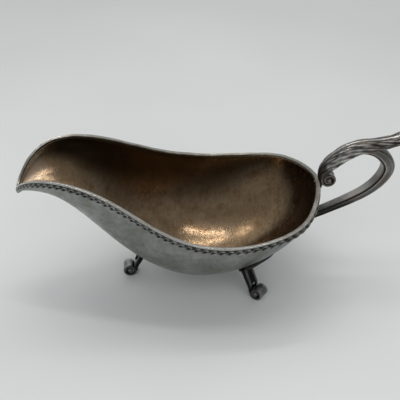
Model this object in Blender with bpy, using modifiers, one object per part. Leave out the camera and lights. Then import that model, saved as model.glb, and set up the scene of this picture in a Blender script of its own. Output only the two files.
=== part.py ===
"""A silver-plated gravy boat on three scroll feet, with a flying leaf-capped handle.

Metres, +Z up. The spout points to -X and the handle to +X, and the boat is symmetric about Y = 0.
The origin is on the table, under the middle of the object's box.

The rim is one closed line that every piece of the body is worked out from. An angle runs round it,
from 0 at the spout's tip, over the +Y side, to half a turn at the rear and back over the -Y side.
Its half width, its height and the depth of the bowl under it are smooth curves through stations
spaced evenly from the tip to the rear.
"""

import math

import bmesh
import bpy
import numpy as np
from mathutils import Matrix, Vector
from mathutils.bvhtree import BVHTree

MM = 0.001

# Driving dimensions, in millimetres until they are multiplied by MM.
OVERALL_LENGTH = 226.0 * MM
BODY_LENGTH = 170.0 * MM
RIM_OVERHANG = 1.3 * MM
GAP = 0.3 * MM

# Stations from the spout's tip (first) to the rear (last).
RIM_WIDENESS = (27.0, 33.0, 33.5, 34.5, 43.0, 50.5, 59.0, 65.0, 57.0)
RIM_HEIGHT = (67.5, 77.5, 84.0, 76.0, 59.0, 53.0, 55.5, 59.5, 63.5)
BOWL_DEPTH = (30.0, 29.5, 32.0, 47.0, 48.0, 46.5, 46.5, 44.0, 44.0)
SECTION_FULLNESS = (1.95, 1.88, 1.85, 2.01, 1.975, 1.77, 1.6, 1.615, 1.7)

SHEET = 1.0 * MM
WALL_INSET = 0.5 * MM
EDGE_LEAN = 1.1 * MM  # how far the sheet's inner edge may stand above its outer edge
WIRE_HEIGHT = 1.3 * MM
WIRE_TOP = 0.4 * MM
WIRE_INNER = -1.7 * MM
WIRE_OUTER = 0.9 * MM
ROPE_HEIGHT = 3.2 * MM
ROPE_INNER = -0.2 * MM

SPOUT_TIP_X = RIM_OVERHANG - OVERALL_LENGTH / 2
REAR_X = SPOUT_TIP_X + BODY_LENGTH
WIRE_BOTTOM = WIRE_TOP - WIRE_HEIGHT
BOWL_EDGE_DROP = GAP - WIRE_BOTTOM + EDGE_LEAN

SECTIONS = 44
SECTION_POINTS = 20
RIM_STEPS = 96

# The handle lies in the plane Y = 0. Its places are (distance behind the rear rim, height).
STRAP_PATH = (
    (5.9, 71.2), (10.1, 76.3), (15.5, 80.4), (21.2, 82.7), (26.5, 82.9), (32.2, 81.2), (36.8, 77.6),
    (39.4, 73.2), (39.4, 68.4), (36.6, 62.4), (31.8, 56.8), (25.4, 52.0), (17.6, 47.7), (11.0, 44.5),
    (3.5, 41.0), (-4.0, 38.0), (-11.0, 35.8),
)
STRAP_THICKNESS = (3.8, 4.3, 4.8, 6.0, 5.6, 5.0, 4.6, 4.2, 4.2)
STRAP_WIDTH = (6.4, 6.4, 6.4, 7.2, 7.6, 7.0, 6.6, 6.4, 6.4)
STRAP_CORNER = 0.3
STRAP_RINGS = 52

LEAF_PATH = (
    (1.3, 64.4), (1.2, 67.8), (2.8, 71.9), (5.4, 75.7), (9.3, 79.3), (14.7, 83.1), (20.8, 85.4),
    (27.6, 86.2), (34.0, 86.6), (40.5, 87.8), (46.6, 89.8), (51.4, 92.6), (54.6, 96.0),
)
LEAF_HALF_WIDTH = (2.8, 4.1, 4.6, 4.7, 4.7, 4.8, 5.2, 6.0, 5.2, 0.9)
LEAF_CREST = (0.9, 1.5, 1.9, 2.2, 2.3, 2.3, 2.2, 2.0, 1.7, 0.8)
LEAF_DROOP = (0.0, 0.0, 2.0, 2.6, 2.6, 2.4, 1.6, 0.6, 0.0, 0.0)
LEAF_SADDLE = 3.65
LEAF_RINGS = 36

VOLUTE_BEHIND_RIM = 5.6 * MM
VOLUTE_HEIGHT = 64.7 * MM
VOLUTE_RADIUS = 5.2 * MM
VOLUTE_WIDTH = 7.0 * MM
VOLUTE_SEAT = 1.75 * MM

# The legs. An angle of half a turn points a leg forward, under the spout.
FRONT_FOOT_FROM_TIP = 59.5 * MM
REAR_FOOT_FROM_TIP = 135.0 * MM
REAR_FOOT_OFFSET = 27.5 * MM
REAR_LEG_ANGLE = math.radians(40)
REAR_KNEE_ANGLE = math.radians(75)
SCROLL_RADIUS = 4.4 * MM
SCROLL_CENTRE_HEIGHT = 4.25 * MM
SCROLL_WIDTH = 8.0 * MM
SCROLL_BAND = 1.5 * MM
SCROLL_TURNS = 1.3
SCROLL_PITCH = 1.9 * MM
SHANK_WIDTH = 8.2 * MM
SHANK_PATH = (
    (-4.1, 4.55), (-4.1, 6.4), (-5.0, 9.0), (-6.5, 12.0), (-8.0, 15.4), (-9.8, 19.7), (-12.0, 25.0),
)
SHANK_THICKNESS = (1.5, 2.3, 3.0, 3.4, 3.6, 3.9, 4.4)

PLATE_THICKNESS = 1.8 * MM
PLATE_GAP = 0.4 * MM
KNEE_INBOARD = 7.2 * MM
KNEE_HEIGHT = 14.5 * MM
REAR_KNEE_ASIDE = 6.5 * MM  # a rear knee plate reaches further towards the handle
REAR_KNEE_HALF_WIDTH = 12.5 * MM
FRONT_KNEE_HALF_WIDTH = 7.5 * MM
KNEE_HALF_HEIGHT = 6.8 * MM
KNEE_LOBES = 5
KNEE_LOBE_DEPTH = 0.10
PAD_HALF_WIDTH = 5.0 * MM
PAD_HALF_HEIGHT = 4.5 * MM
PAD_HEIGHT = 37.2 * MM
PAD_FACING = Vector((1, 0, -0.4))
RAY_START = 20 * MM  # how far off the wall a ray starts that is cast on to it

SILVER = (0.36, 0.35, 0.33)
DARK_SILVER = (0.22, 0.21, 0.20)


def clear_scene():
    for obj in list(bpy.data.objects):
        bpy.data.objects.remove(obj, do_unlink=True)


def new_collection(name):
    collection = bpy.data.collections.new(name)
    bpy.context.scene.collection.children.link(collection)
    return collection


def curve_through(values, t):
    """A cubic spline through evenly spaced values, level at both ends, read at t from 0 to 1."""
    values = np.asarray(values, float)
    last = len(values) - 1
    matrix = np.eye(last + 1)
    right = np.zeros(last + 1)
    for i in range(1, last):
        matrix[i, i - 1 : i + 2] = (1, 4, 1)
        right[i] = 6 * (values[i - 1] - 2 * values[i] + values[i + 1])
    matrix[0, :2] = (2, 1)
    right[0] = 6 * (values[1] - values[0])
    matrix[last, last - 1 :] = (1, 2)
    right[last] = 6 * (values[last - 1] - values[last])
    bend = np.linalg.solve(matrix, right)
    place = min(max(t, 0.0), 1.0) * last
    i = min(int(place), last - 1)
    b = place - i
    a = 1 - b
    return a * values[i] + b * values[i + 1] + ((a**3 - a) * bend[i] + (b**3 - b) * bend[i + 1]) / 6


def station(angle):
    """How far an angle round the rim is from the tip (0) to the rear (1)."""
    turn = angle % (2 * math.pi)
    return min(turn, 2 * math.pi - turn) / math.pi


def rim_point(angle):
    s = station(angle)
    along = BODY_LENGTH * (1 - math.cos(angle)) / 2
    across = math.sin(angle) * curve_through(RIM_WIDENESS, s) * MM
    return Vector((SPOUT_TIP_X + along, across, curve_through(RIM_HEIGHT, s) * MM))


def rim_outward(angle):
    """The level direction that points straight out of the rim."""
    step = 0.002
    along = rim_point(angle + step) - rim_point(angle - step)
    return Vector((-along.y, along.x, 0)).normalized()


def bowl_point(angle, turn):
    """The outer wall: turn is 0 at the rim's own height and a quarter turn on the keel line."""
    s = station(angle)
    power = 2 / curve_through(SECTION_FULLNESS, s)
    rim = rim_point(angle)
    half_width = abs(rim.y) - WALL_INSET * abs(math.sin(angle))
    depth = abs(math.sin(angle)) * curve_through(BOWL_DEPTH, s) * MM
    x = rim.x + WALL_INSET * math.cos(angle)
    y = half_width * max(math.cos(turn), 0.0) ** power
    return Vector((x, y, rim.z - depth * math.sin(turn) ** power))


def edge_turn(angle):
    """The turn at which the wall has dropped to the bowl's top edge, just under the rim wire."""
    s = station(angle)
    depth = abs(math.sin(angle)) * curve_through(BOWL_DEPTH, s) * MM
    share = min(BOWL_EDGE_DROP / depth, 1.0)
    return math.asin(share ** (curve_through(SECTION_FULLNESS, s) / 2))


def edge_angle(at_rear):
    """The angle at which the bowl is only as deep as its edge drops, so that it comes to a point."""
    shallow, deep = (math.pi, math.pi / 2) if at_rear else (0.0, math.pi / 2)
    for _ in range(40):
        middle = (shallow + deep) / 2
        if math.sin(middle) * curve_through(BOWL_DEPTH, station(middle)) * MM > BOWL_EDGE_DROP:
            deep = middle
        else:
            shallow = middle
    return (shallow + deep) / 2


def bowl_rows():
    """Cross sections of the outer wall from tip to rear, each from the +Y edge to the -Y edge."""
    first, last = edge_angle(False), edge_angle(True)
    rows = [[bowl_point(first, math.pi / 2)]]
    for i in range(1, SECTIONS):
        angle = first + (last - first) * i / SECTIONS
        start = edge_turn(angle)
        half = SECTION_POINTS // 2
        turns = [start + (math.pi / 2 - start) * k / half for k in range(half + 1)]
        right = [bowl_point(angle, turn) for turn in turns]
        left = [Vector((p.x, -p.y, p.z)) for p in reversed(right[:-1])]
        rows.append(right + left)
    rows.append([bowl_point(last, math.pi / 2)])
    return rows


def object_from(bm, name, collection):
    mesh = bpy.data.meshes.new(name)
    bm.to_mesh(mesh)
    bm.free()
    obj = bpy.data.objects.new(name, mesh)
    collection.objects.link(obj)
    return obj


def join_rows(bm, upper, lower):
    """Faces between two rows of vertices, of which either may be one single vertex."""
    for k in range(max(len(upper), len(lower)) - 1):
        a, b = (upper * 2)[k : k + 2] if len(upper) > 1 else upper * 2
        c, d = (lower * 2)[k : k + 2] if len(lower) > 1 else lower * 2
        corners = []
        for vertex in (a, c, d, b):
            if vertex not in corners:
                corners.append(vertex)
        bm.faces.new(corners)


def open_sheet(rows):
    """A bmesh surface through rows of points."""
    bm = bmesh.new()
    vertices = [[bm.verts.new(point) for point in row] for row in rows]
    for upper, lower in zip(vertices, vertices[1:]):
        join_rows(bm, upper, lower)
    bmesh.ops.triangulate(bm, faces=bm.faces)
    return bm


def loft(name, rings, collection, closed_path=False):
    """A solid through rings of points: a loop, or a run with its two ends capped."""
    bm = bmesh.new()
    loops = [[bm.verts.new(point) for point in ring] for ring in rings]
    following = loops[1:] + loops[:1] if closed_path else loops[1:]
    for ring, after in zip(loops, following):
        join_rows(bm, ring + ring[:1], after + after[:1])
    if not closed_path:
        bm.faces.new(loops[0])
        bm.faces.new(loops[-1])
    bmesh.ops.recalc_face_normals(bm, faces=bm.faces)
    obj = object_from(bm, name, collection)
    obj.data.shade_smooth()
    obj.data.set_sharp_from_angle(angle=math.radians(40))
    return obj


def rim_band(name, outline, collection):
    """A band all round the rim. Its outline is (outward, upward) from the rim line."""
    rings = []
    for i in range(RIM_STEPS):
        angle = 2 * math.pi * i / RIM_STEPS
        base = rim_point(angle)
        out = rim_outward(angle)
        rings.append([base + out * a + Vector((0, 0, b)) for a, b in outline])
    return loft(name, rings, collection, closed_path=True)


def make_bowl(collection):
    bm = open_sheet(bowl_rows())
    bowl = object_from(bm, "bowl", collection)
    bowl.data.shade_smooth()
    solidify = bowl.modifiers.new("sheet", "SOLIDIFY")
    solidify.thickness = SHEET
    solidify.offset = -1
    return bowl


def make_rim_wire(collection):
    corner = 0.45 * MM
    outline = [
        (WIRE_INNER, WIRE_BOTTOM),
        (WIRE_INNER, WIRE_TOP - corner),
        (WIRE_INNER + corner, WIRE_TOP),
        (WIRE_OUTER - corner, WIRE_TOP),
        (WIRE_OUTER, WIRE_TOP - corner),
        (WIRE_OUTER, WIRE_BOTTOM + corner),
        (WIRE_OUTER - corner, WIRE_BOTTOM),
    ]
    return rim_band("rim_wire", outline, collection)


def make_rope_border(collection):
    top = WIRE_BOTTOM - GAP
    middle = top - ROPE_HEIGHT / 2
    outline = [(ROPE_INNER, top), (ROPE_INNER, top - ROPE_HEIGHT)]
    for degrees in (-60, -30, 0, 30, 60):
        bend = math.radians(degrees)
        outward = ROPE_INNER + (RIM_OVERHANG - ROPE_INNER) * math.cos(bend)
        outline.append((outward, middle + ROPE_HEIGHT / 2 * math.sin(bend)))
    return rim_band("rope_border", outline, collection)


def handle_place(point):
    behind, height = point
    return Vector((REAR_X + behind * MM, 0, height * MM))


def smooth_path(points, count):
    """Points along a smooth curve through the given ones, with the curve's direction at each."""
    xs = [p[0] for p in points]
    zs = [p[1] for p in points]
    path = []
    for i in range(count + 1):
        t = i / count
        ahead, behind = min(t + 0.004, 1), max(t - 0.004, 0)
        place = Vector((curve_through(xs, t), curve_through(zs, t)))
        step = Vector((curve_through(xs, ahead), curve_through(zs, ahead)))
        step -= Vector((curve_through(xs, behind), curve_through(zs, behind)))
        path.append((t, place, step.normalized()))
    return path


def make_handle_strap(collection):
    """The loop of the handle, a strap with rounded corners that thins towards its lower end."""
    rings = []
    for t, place, direction in smooth_path(STRAP_PATH, STRAP_RINGS):
        half_width = curve_through(STRAP_WIDTH, t) / 2
        half_depth = curve_through(STRAP_THICKNESS, t) / 2
        normal = Vector((-direction.y, direction.x))
        ring = []
        for side, lift in ((-1, -1), (1, -1), (1, 1), (-1, 1)):
            for first in (True, False):
                bevelled = first == (side * lift > 0)
                y = side * half_width * (1 if bevelled else 1 - STRAP_CORNER)
                n = lift * half_depth * (1 - STRAP_CORNER if bevelled else 1)
                centre = handle_place(place + normal * n)
                ring.append(centre + Vector((0, y * MM, 0)))
        rings.append(ring)
    return loft("handle_strap", rings, collection)


def make_handle_leaf(collection):
    """The acanthus cap: it sits like a saddle on the strap's top and flies off into a thumb tip."""
    rings = []
    for t, place, direction in smooth_path(LEAF_PATH, LEAF_RINGS):
        width = curve_through(LEAF_HALF_WIDTH, t)
        crest = curve_through(LEAF_CREST, t)
        droop = curve_through(LEAF_DROOP, t)
        saddle = min(LEAF_SADDLE, width * 0.8)
        normal = Vector((-direction.y, direction.x))
        half = [
            (0.0, crest),
            (width * 0.5, crest * 0.8),
            (width * 0.88, crest * 0.28),
            (width, -droop),
            (saddle + 0.1, -droop - 0.01),
            (saddle, 0.0),
        ]
        outline = half + [(-y, n) for y, n in reversed(half[1:])]
        ring = [handle_place(place + normal * n) + Vector((0, y * MM, 0)) for y, n in outline]
        rings.append(ring)
    return loft("handle_leaf", rings, collection)


def plate_outline(name, outline, width, collection):
    """A flat outline in its own XY plane, given a thickness of width."""
    curve = bpy.data.curves.new(name, "CURVE")
    curve.dimensions = "2D"
    curve.fill_mode = "BOTH"
    curve.extrude = width / 2
    spline = curve.splines.new("POLY")
    spline.points.add(len(outline) - 1)
    for point, (x, y) in zip(spline.points, outline):
        point.co = (x, y, 0, 1)
    spline.use_cyclic_u = True
    obj = bpy.data.objects.new(name, curve)
    collection.objects.link(obj)
    return obj


def make_handle_volute(collection):
    """The scroll under the handle's upper root, with a flat seat against the rim's border."""
    outline = []
    steps = 36
    seat = VOLUTE_SEAT - VOLUTE_BEHIND_RIM
    for i in range(steps):
        angle = 2 * math.pi * i / steps
        x = VOLUTE_RADIUS * math.cos(angle)
        outline.append((max(x, seat), VOLUTE_RADIUS * math.sin(angle)))
    volute = plate_outline("handle_volute", outline, VOLUTE_WIDTH, collection)
    volute.location = (REAR_X + VOLUTE_BEHIND_RIM, 0, VOLUTE_HEIGHT)
    volute.rotation_euler = (math.pi / 2, 0, 0)
    return volute


def spiral_outline():
    """The foot's scroll: a band that runs under the foot, up its front and into an eye."""
    steps = 34
    outer, inner = [], []
    for i in range(steps + 1):
        turn = SCROLL_TURNS * i / steps
        angle = math.pi + 2 * math.pi * turn
        radius = SCROLL_RADIUS + SCROLL_PITCH * (0.25 - turn)
        band = min(SCROLL_BAND, radius - 0.1 * MM)
        outer.append((radius * math.cos(angle), radius * math.sin(angle)))
        inner.append(((radius - band) * math.cos(angle), (radius - band) * math.sin(angle)))
    points = outer + inner[::-1]
    return [(x, max(z, -SCROLL_CENTRE_HEIGHT)) for x, z in points]


def shank_outline():
    left, right = [], []
    for t, place, direction in smooth_path(SHANK_PATH, 14):
        half = curve_through(SHANK_THICKNESS, t) / 2
        normal = Vector((-direction.y, direction.x))
        left.append((place + normal * half) * MM)
        right.append((place - normal * half) * MM)
    return [(p.x, p.y) for p in left + right[::-1]]


def leg_matrix(foot, angle, height):
    """Turns an outline's X outwards along the leg's angle and its Y upwards, over the foot."""
    upright = Matrix.Rotation(math.pi / 2, 4, "X")
    return Matrix.Translation((foot.x, foot.y, height)) @ Matrix.Rotation(angle, 4, "Z") @ upright


def as_mesh(obj, collection):
    """The same shape as a mesh object with its caps welded on, so that it can be cut."""
    bpy.context.view_layer.update()
    evaluated = obj.evaluated_get(bpy.context.evaluated_depsgraph_get())
    mesh = bpy.data.meshes.new_from_object(evaluated)
    bm = bmesh.new()
    bm.from_mesh(mesh)
    bmesh.ops.remove_doubles(bm, verts=bm.verts, dist=0.001 * MM)
    bm.to_mesh(mesh)
    bm.free()
    name, matrix = obj.name, obj.matrix_world.copy()
    bpy.data.objects.remove(obj, do_unlink=True)
    solid = bpy.data.objects.new(name, mesh)
    solid.matrix_world = matrix
    collection.objects.link(solid)
    return solid


def make_bowl_cutter(collection):
    """The bowl's outer form, filled and made larger by a plate and its gaps, to cope the joints."""
    bm = open_sheet(bowl_rows())
    bm.normal_update()
    swell = PLATE_GAP + PLATE_THICKNESS + GAP
    for vertex in bm.verts:
        vertex.co += vertex.normal * swell
    edges = [edge for edge in bm.edges if edge.is_boundary]
    bmesh.ops.holes_fill(bm, edges=edges)
    bmesh.ops.recalc_face_normals(bm, faces=bm.faces)
    cutter = object_from(bm, "bowl_cutter", collection)
    cutter.hide_render = True
    cutter.display_type = "WIRE"
    return cutter


def cope(obj, cutter):
    cut = obj.modifiers.new("cope", "BOOLEAN")
    cut.operation = "DIFFERENCE"
    cut.object = cutter


def wall_plate(name, centre, outward, half_width, half_height, lobes, lobe_depth, collection):
    """A plate soldered on the wall: an oval or lobed outline laid on the bowl along outward."""
    bm = open_sheet(bowl_rows())
    tree = BVHTree.FromBMesh(bm)
    bm.free()
    outward = outward.normalized()
    across = Vector((0, 0, 1)).cross(outward).normalized()
    upward = outward.cross(across)
    rows = []
    rays, rings = 20, 4
    for i in range(rays + 1):
        angle = 2 * math.pi * (i % rays) / rays
        lobe = 1 - lobe_depth * (1 - abs(math.sin(lobes * angle / 2)))
        row = []
        for k in range(1, rings + 1):
            share = k / rings * lobe
            aim = centre + across * half_width * math.sin(angle) * share
            aim += upward * half_height * math.cos(angle) * share
            spot, normal, _, _ = tree.ray_cast(aim + outward * RAY_START, -outward)
            if normal.dot(outward) < 0:
                normal = -normal
            row.append(spot + normal * PLATE_GAP)
        rows.append(row)
    spot, normal, _, _ = tree.ray_cast(centre + outward * RAY_START, -outward)
    if normal.dot(outward) < 0:
        normal = -normal
    middle = spot + normal * PLATE_GAP
    bm = bmesh.new()
    loops = [[bm.verts.new(point) for point in row] for row in rows[:-1]]
    hub = bm.verts.new(middle)
    for spoke, after in zip(loops, loops[1:] + loops[:1]):
        bm.faces.new((hub, after[0], spoke[0]))
        join_rows(bm, spoke, after)
    bm.normal_update()
    if hub.normal.dot(outward) < 0:
        bmesh.ops.reverse_faces(bm, faces=bm.faces)
    plate = object_from(bm, name, collection)
    plate.data.shade_smooth()
    solidify = plate.modifiers.new("plate", "SOLIDIFY")
    solidify.thickness = PLATE_THICKNESS
    solidify.offset = 1
    return plate


def make_leg(name, foot, angle, knee_angle, knee_aside, knee_half_width, cutter, collection):
    out = Vector((math.cos(angle), math.sin(angle), 0))
    scroll = plate_outline(f"foot_scroll_{name}", spiral_outline(), SCROLL_WIDTH, collection)
    scroll.matrix_world = leg_matrix(foot, angle, SCROLL_CENTRE_HEIGHT)
    shank = plate_outline(f"leg_shank_{name}", shank_outline(), SHANK_WIDTH, collection)
    shank.matrix_world = leg_matrix(foot, angle, 0)
    shank = as_mesh(shank, collection)
    cope(shank, cutter)
    knee = foot - out * KNEE_INBOARD + Vector((knee_aside, 0, KNEE_HEIGHT))
    facing = Vector((math.cos(knee_angle), math.sin(knee_angle), -1))
    plate = wall_plate(
        f"knee_plate_{name}", knee, facing, knee_half_width, KNEE_HALF_HEIGHT,
        KNEE_LOBES, KNEE_LOBE_DEPTH, collection,
    )
    return [scroll, shank, plate]


def make_lower_pad(collection):
    centre = Vector((REAR_X, 0, PAD_HEIGHT))
    return wall_plate(
        "handle_lower_pad", centre, PAD_FACING, PAD_HALF_WIDTH, PAD_HALF_HEIGHT, 1, 0.0, collection,
    )


def finish(obj, colour, roughness):
    material = bpy.data.materials.new(obj.name)
    material.use_nodes = True
    shader = material.node_tree.nodes["Principled BSDF"]
    shader.inputs["Base Color"].default_value = (*colour, 1)
    shader.inputs["Metallic"].default_value = 1.0
    shader.inputs["Roughness"].default_value = roughness
    material.diffuse_color = (*colour, 1)
    obj.data.materials.append(material)


def main():
    clear_scene()
    boat = new_collection("gravy_boat")
    cutters = new_collection("cutters")
    cutter = make_bowl_cutter(cutters)

    for piece in (make_bowl(boat), make_rim_wire(boat), make_rope_border(boat)):
        finish(piece, SILVER, 0.35)

    strap = make_handle_strap(boat)
    cope(strap, cutter)
    for piece in (strap, make_handle_leaf(boat), make_handle_volute(boat), make_lower_pad(boat)):
        finish(piece, DARK_SILVER, 0.4)

    foot = Vector((SPOUT_TIP_X + FRONT_FOOT_FROM_TIP, 0, 0))
    pieces = make_leg("front", foot, math.pi, math.pi, 0, FRONT_KNEE_HALF_WIDTH, cutter, boat)
    for name, side in (("left", 1), ("right", -1)):
        foot = Vector((SPOUT_TIP_X + REAR_FOOT_FROM_TIP, side * REAR_FOOT_OFFSET, 0))
        pieces += make_leg(
            name, foot, side * REAR_LEG_ANGLE, side * REAR_KNEE_ANGLE, REAR_KNEE_ASIDE,
            REAR_KNEE_HALF_WIDTH, cutter, boat,
        )
    for piece in pieces:
        finish(piece, DARK_SILVER, 0.4)


main()
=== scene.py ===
"""The looks of a tarnished silver-plated gravy boat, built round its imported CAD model.

Everything is in metres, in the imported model's frame: the spout points to -X, +Z is up, and the
boat is symmetric about Y = 0. Each piece stands for the CAD node of the same place. The rim line
and the handle's lines repeat the part's own stations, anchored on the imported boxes.
"""

import math

import bmesh
import bpy
import numpy as np
from mathutils import Matrix, Vector
from mathutils.bvhtree import BVHTree


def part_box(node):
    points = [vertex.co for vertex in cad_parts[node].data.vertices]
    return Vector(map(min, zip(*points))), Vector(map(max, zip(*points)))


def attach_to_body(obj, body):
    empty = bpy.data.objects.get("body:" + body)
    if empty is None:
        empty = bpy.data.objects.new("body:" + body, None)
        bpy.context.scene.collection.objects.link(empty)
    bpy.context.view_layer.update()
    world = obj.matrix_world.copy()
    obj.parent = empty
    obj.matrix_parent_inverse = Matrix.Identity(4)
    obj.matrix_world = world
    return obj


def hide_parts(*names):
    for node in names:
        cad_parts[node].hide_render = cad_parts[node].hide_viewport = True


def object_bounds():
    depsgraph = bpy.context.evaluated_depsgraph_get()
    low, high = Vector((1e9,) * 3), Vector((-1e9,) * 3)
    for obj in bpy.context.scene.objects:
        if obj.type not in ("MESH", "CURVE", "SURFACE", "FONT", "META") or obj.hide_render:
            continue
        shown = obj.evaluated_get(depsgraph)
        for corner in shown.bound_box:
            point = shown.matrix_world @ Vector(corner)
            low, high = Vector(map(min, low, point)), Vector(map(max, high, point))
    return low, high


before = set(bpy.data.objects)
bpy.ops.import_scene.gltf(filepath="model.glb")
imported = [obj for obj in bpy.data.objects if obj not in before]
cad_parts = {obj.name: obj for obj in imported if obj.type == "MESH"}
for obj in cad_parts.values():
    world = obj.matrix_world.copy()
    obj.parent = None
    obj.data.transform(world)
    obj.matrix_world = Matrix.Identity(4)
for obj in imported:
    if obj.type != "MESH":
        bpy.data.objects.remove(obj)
CAD_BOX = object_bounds()

MM = 0.001
UP = np.array((0, 0, 1.0))
ROPE_LOW, ROPE_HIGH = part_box("rope_border")
RIM_OVERHANG = 1.3 * MM
TIP_X = ROPE_LOW.x + RIM_OVERHANG
REAR_X = ROPE_HIGH.x - RIM_OVERHANG
BODY_LENGTH = REAR_X - TIP_X


def smooth(values, scale=1.0):
    """A cubic spline through evenly spaced values, level at both ends, as a function of 0 to 1."""
    values = np.asarray(values, float) * scale
    last = len(values) - 1
    matrix = np.eye(last + 1)
    right = np.zeros(last + 1)
    for i in range(1, last):
        matrix[i, i - 1 : i + 2] = (1, 4, 1)
        right[i] = 6 * (values[i - 1] - 2 * values[i] + values[i + 1])
    matrix[0, :2] = (2, 1)
    right[0] = 6 * (values[1] - values[0])
    matrix[last, last - 1 :] = (1, 2)
    right[last] = 6 * (values[last - 1] - values[last])
    bend = np.linalg.solve(matrix, right)

    def read(t):
        place = np.clip(t, 0, 1) * last
        i = np.minimum(np.asarray(place).astype(int), last - 1)
        b = place - i
        a = 1 - b
        straight = a * values[i] + b * values[i + 1]
        return straight + ((a**3 - a) * bend[i] + (b**3 - b) * bend[i + 1]) / 6

    return read


# Stations from the spout's tip (first) to the rear (last). All but the fullness, which is the
# power of the section's curve, are in millimetres.
rim_wideness = smooth((27.0, 33.0, 33.5, 34.5, 43.0, 50.5, 59.0, 65.0, 57.0), MM)
rim_height = smooth((67.5, 77.5, 84.0, 76.0, 59.0, 53.0, 55.5, 59.5, 63.5), MM)
bowl_depth = smooth((30.0, 29.5, 32.0, 47.0, 48.0, 46.5, 46.5, 44.0, 44.0), MM)
section_fullness = smooth((1.95, 1.88, 1.85, 2.01, 1.975, 1.77, 1.6, 1.615, 1.7))
WALL_INSET = 0.5 * MM
SHEET = 1.0 * MM
KEEL_SOFTNESS = 0.16

# Places in the handle's plane: (distance behind the rear rim, height), in millimetres.
STRAP_PATH = (
    (5.9, 71.2), (10.1, 76.3), (15.5, 80.4), (21.2, 82.7), (26.5, 82.9), (32.2, 81.2), (36.8, 77.6),
    (39.4, 73.2), (39.4, 68.4), (36.6, 62.4), (31.8, 56.8), (25.4, 52.0), (17.6, 47.7), (11.0, 44.5),
    (3.5, 41.0), (-4.0, 38.0), (-11.0, 35.8),
)
strap_thickness = smooth((3.8, 4.3, 4.8, 6.0, 5.6, 5.0, 4.6, 4.2, 4.2), MM)
strap_width = smooth((6.4, 6.4, 6.4, 7.2, 7.6, 7.0, 6.6, 6.4, 6.4), MM)

LEAF_PATH = (
    (1.9, 59.2), (1.35, 65.4), (2.8, 71.9), (5.4, 75.7), (9.3, 79.3), (14.7, 83.1), (20.8, 85.4),
    (27.6, 86.2), (34.0, 86.6), (40.5, 87.8), (46.6, 89.8), (51.4, 92.6), (54.6, 96.0),
)
# Along the leaf: its half width, how high its top is off the strap, and how far its edges hang.
leaf_half_width = smooth((2.8, 4.1, 4.6, 4.7, 4.7, 4.8, 5.2, 6.0, 5.2, 0.9), MM)
leaf_crest = smooth((0.9, 1.5, 1.9, 2.2, 2.3, 2.3, 2.2, 2.0, 1.7, 0.8), MM)
leaf_droop = smooth((0.4, 2.2, 3.8, 4.4, 4.2, 3.2, 1.8, 0.6, 0.0, 0.0), MM)
LEAF_SADDLE = 3.45 * MM
LEAF_LOBES = 7
LEAF_VEINS = 8
# The leaf's carving, in millimetres: its middle rib, the furrows beside it, its veins and folds.
LEAF_RIB_HEIGHT = 0.34
LEAF_FURROW_DEPTH = 0.30
LEAF_VEIN_DEPTH = 0.36
LEAF_FOLD_DEPTH = 0.22

VOLUTE_BEHIND_RIM = 6.1 * MM
VOLUTE_HEIGHT = 64.4 * MM
VOLUTE = {
    "radius": 4.6 * MM, "turns": 1.4, "pitch": 1.8 * MM, "band": 1.7 * MM, "width": 6.8 * MM,
    "tail": 6.0 * MM,
}
PAD_HALF_SIZE = (5.0 * MM, 4.5 * MM)
PAD_HEIGHT = 37.2 * MM
PAD = {"lobes": 0, "depth": 0.0, "edge_lift": 1.2 * MM, "crown": 0.8 * MM}

# Places in a leg's own plane: (distance outwards from its foot, height), in millimetres.
SHANK_PATH = (
    (-4.1, 4.55), (-4.1, 6.4), (-5.0, 9.0), (-6.5, 12.0), (-8.0, 15.4), (-9.8, 19.7), (-12.0, 25.0),
)
shank_thickness = smooth((1.5, 2.3, 3.0, 3.4, 3.6, 3.9, 4.4), MM)
SHANK_WIDTH = 8.2 * MM
SHANK_END = 0.8  # the share of its path that is made
SHANK_INTO_WALL = 0.3 * MM
SCROLL_PITCH = 1.9 * MM
FOOT_SCROLL = {
    "radius": 4.4 * MM, "turns": 1.3, "pitch": SCROLL_PITCH, "band": 1.5 * MM, "width": 8.0 * MM,
}
SCROLL_CENTRE_HEIGHT = 4.25 * MM
REAR_LEG_ANGLE = math.radians(40)
REAR_KNEE_ANGLE = math.radians(75)
KNEE_INBOARD = 7.2 * MM
KNEE_HEIGHT = 14.5 * MM
REAR_KNEE_BACK = 6.5 * MM
REAR_KNEE_HALF_SIZE = (12.5 * MM, 6.8 * MM)
FRONT_KNEE_HALF_SIZE = (7.5 * MM, 6.8 * MM)
KNEE = {"lobes": 5, "depth": 0.18, "edge_lift": 2.7 * MM, "crown": 0.2 * MM}


def rim_line(angle):
    """Points on the rim. The angle is 0 at the spout's tip and half a turn at the rear."""
    turn = np.mod(angle, 2 * math.pi)
    station = np.minimum(turn, 2 * math.pi - turn) / math.pi
    x = TIP_X + BODY_LENGTH * (1 - np.cos(angle)) / 2
    return np.stack([x, np.sin(angle) * rim_wideness(station), rim_height(station)], axis=-1)


def unit(vectors):
    """The same directions with length 1."""
    return vectors / np.linalg.norm(vectors, axis=-1, keepdims=True)


def rim_outward(angle):
    """The level direction that points straight out of the rim."""
    step = 0.002
    along = rim_line(angle + step) - rim_line(angle - step)
    return unit(np.stack([-along[..., 1], along[..., 0], np.zeros_like(along[..., 0])], axis=-1))


def even_rim_angles(count):
    """Angles that step round the rim by equal lengths."""
    fine = np.linspace(0, 2 * math.pi, 4001)
    steps = np.linalg.norm(np.diff(rim_line(fine), axis=0), axis=1)
    travelled = np.concatenate([[0], np.cumsum(steps)])
    wanted = np.arange(count) / count * travelled[-1]
    return np.interp(wanted, travelled, fine)


def ring_angles(columns):
    """Even angles round a circle."""
    return 2 * math.pi * np.arange(columns) / columns


def bump(distance, width):
    """A smooth hill of height 1 at distance 0."""
    return np.exp(-((distance / width) ** 2))


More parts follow.
